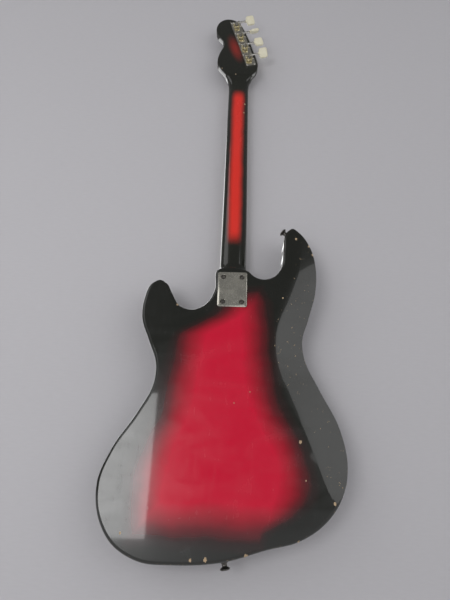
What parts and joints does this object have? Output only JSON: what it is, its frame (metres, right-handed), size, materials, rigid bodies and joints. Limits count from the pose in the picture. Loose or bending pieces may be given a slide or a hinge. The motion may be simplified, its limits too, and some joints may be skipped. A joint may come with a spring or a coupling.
{
  "type": "electric bass guitar",
  "caption": "Solid-body electric bass with a bolted neck, open worm-gear tuners on one strip, strings wound on turning posts, and front controls.",
  "frame": {"origin": "on the neck's centre line at the nut, in the plane of the body's front face; the instrument hangs there by its head", "axes": "+Z along the neck towards the head, +Y out of the body's back, +X towards the treble side"},
  "size_m": [0.37, 0.0656, 1.1378],
  "materials": {
    "red_burst_lacquer": "gloss red to black burst lacquer",
    "black_lacquer": "gloss black lacquer over wood",
    "rosewood": "oiled",
    "bone": "polished",
    "cream_plastic": "aged gloss",
    "black_plastic": "gloss",
    "chrome": "worn plate",
    "dark_steel": "tarnished",
    "aged_brass": "cut teeth, tarnished",
    "steel": "bright",
    "enamelled_copper": "wound wire"
  },
  "bodies": {
    "root": {"body": "red_burst_lacquer", "neck": "black_lacquer", "fretboard": "rosewood", "nut": "bone", "pickguard": "black_plastic", "pickup_cover_neck": "black_plastic", "pickup_cover_bridge": "black_plastic", "neck_plate": "chrome", "tuner_plate": "chrome", "string_tree": "chrome", "output_jack": "chrome", "jack_nut": "chrome", "bridge_plate": "chrome", "post_bushing_e": "chrome", "post_bushing_a": "chrome", "post_bushing_d": "chrome", "post_bushing_g": "chrome", "neck_screw_1": "dark_steel", "neck_screw_2": "dark_steel", "neck_screw_3": "dark_steel", "neck_screw_4": "dark_steel", "strap_button_tail": "dark_steel", "strap_button_horn": "dark_steel", "strap_screw_tail": "dark_steel", "strap_screw_horn": "dark_steel", "truss_rod": "steel", "volume_pot": "steel", "tone_pot": "steel", "saddle_bass": "steel", "saddle_treble": "steel", "intonation_screw_bass": "steel", "intonation_screw_treble": "steel", "string_e": "steel", "string_a": "steel", "string_d": "steel", "string_g": "steel", "pickup_bobbin_neck": "enamelled_copper", "pickup_bobbin_bridge": "enamelled_copper"},
    "e_button": {"worm_shaft_e": "steel", "tuner_button_e": "cream_plastic"},
    "e_post": {"string_post_e": "steel", "tuner_gear_e": "aged_brass"},
    "a_button": {"worm_shaft_a": "steel", "tuner_button_a": "cream_plastic"},
    "a_post": {"string_post_a": "steel", "tuner_gear_a": "aged_brass"},
    "d_button": {"worm_shaft_d": "steel", "tuner_button_d": "cream_plastic"},
    "d_post": {"string_post_d": "steel", "tuner_gear_d": "aged_brass"},
    "g_button": {"worm_shaft_g": "steel", "tuner_button_g": "cream_plastic"},
    "g_post": {"string_post_g": "steel", "tuner_gear_g": "aged_brass"},
    "volume_control": {"volume_knob": "black_plastic", "volume_shaft": "steel"},
    "tone_control": {"tone_knob": "black_plastic", "tone_shaft": "steel"}
  },
  "joints": [
    {"name": "e_button_turn", "type": "hinge", "parent": "root", "child": "e_button", "pos_m": [-0.01939, 0.017, 0.07154], "axis": [-0.9603, 0, 0.279], "continuous": true},
    {"name": "e_post_turn", "type": "hinge", "parent": "root", "child": "e_post", "pos_m": [-0.02177, 0, 0.06332], "axis": [0, 1, 0], "continuous": true},
    {"name": "a_button_turn", "type": "hinge", "parent": "root", "child": "a_button", "pos_m": [-0.00921, 0.017, 0.10659], "axis": [-0.9603, 0, 0.279], "continuous": true},
    {"name": "a_post_turn", "type": "hinge", "parent": "root", "child": "a_post", "pos_m": [-0.01159, 0, 0.09837], "axis": [0, 1, 0], "continuous": true},
    {"name": "d_button_turn", "type": "hinge", "parent": "root", "child": "d_button", "pos_m": [0.00098, 0.017, 0.14164], "axis": [-0.9603, 0, 0.279], "continuous": true},
    {"name": "d_post_turn", "type": "hinge", "parent": "root", "child": "d_post", "pos_m": [-0.00141, 0, 0.13343], "axis": [0, 1, 0], "continuous": true},
    {"name": "g_button_turn", "type": "hinge", "parent": "root", "child": "g_button", "pos_m": [0.01116, 0.017, 0.17669], "axis": [-0.9603, 0, 0.279], "continuous": true},
    {"name": "g_post_turn", "type": "hinge", "parent": "root", "child": "g_post", "pos_m": [0.00877, 0, 0.16848], "axis": [0, 1, 0], "continuous": true},
    {"name": "volume_turn", "type": "hinge", "parent": "root", "child": "volume_control", "pos_m": [0.1, -0.0027, -0.75268], "axis": [0, -1, 0], "range_deg": [-150, 150]},
    {"name": "tone_turn", "type": "hinge", "parent": "root", "child": "tone_control", "pos_m": [0.121, -0.0027, -0.78468], "axis": [0, -1, 0], "range_deg": [-150, 150]}
  ],
  "couplings": [
    {"joint": "e_post_turn", "follows": "e_button_turn", "ratio": 0.055556},
    {"joint": "a_post_turn", "follows": "a_button_turn", "ratio": 0.055556},
    {"joint": "d_post_turn", "follows": "d_button_turn", "ratio": 0.055556},
    {"joint": "g_post_turn", "follows": "g_button_turn", "ratio": 0.055556}
  ]
}
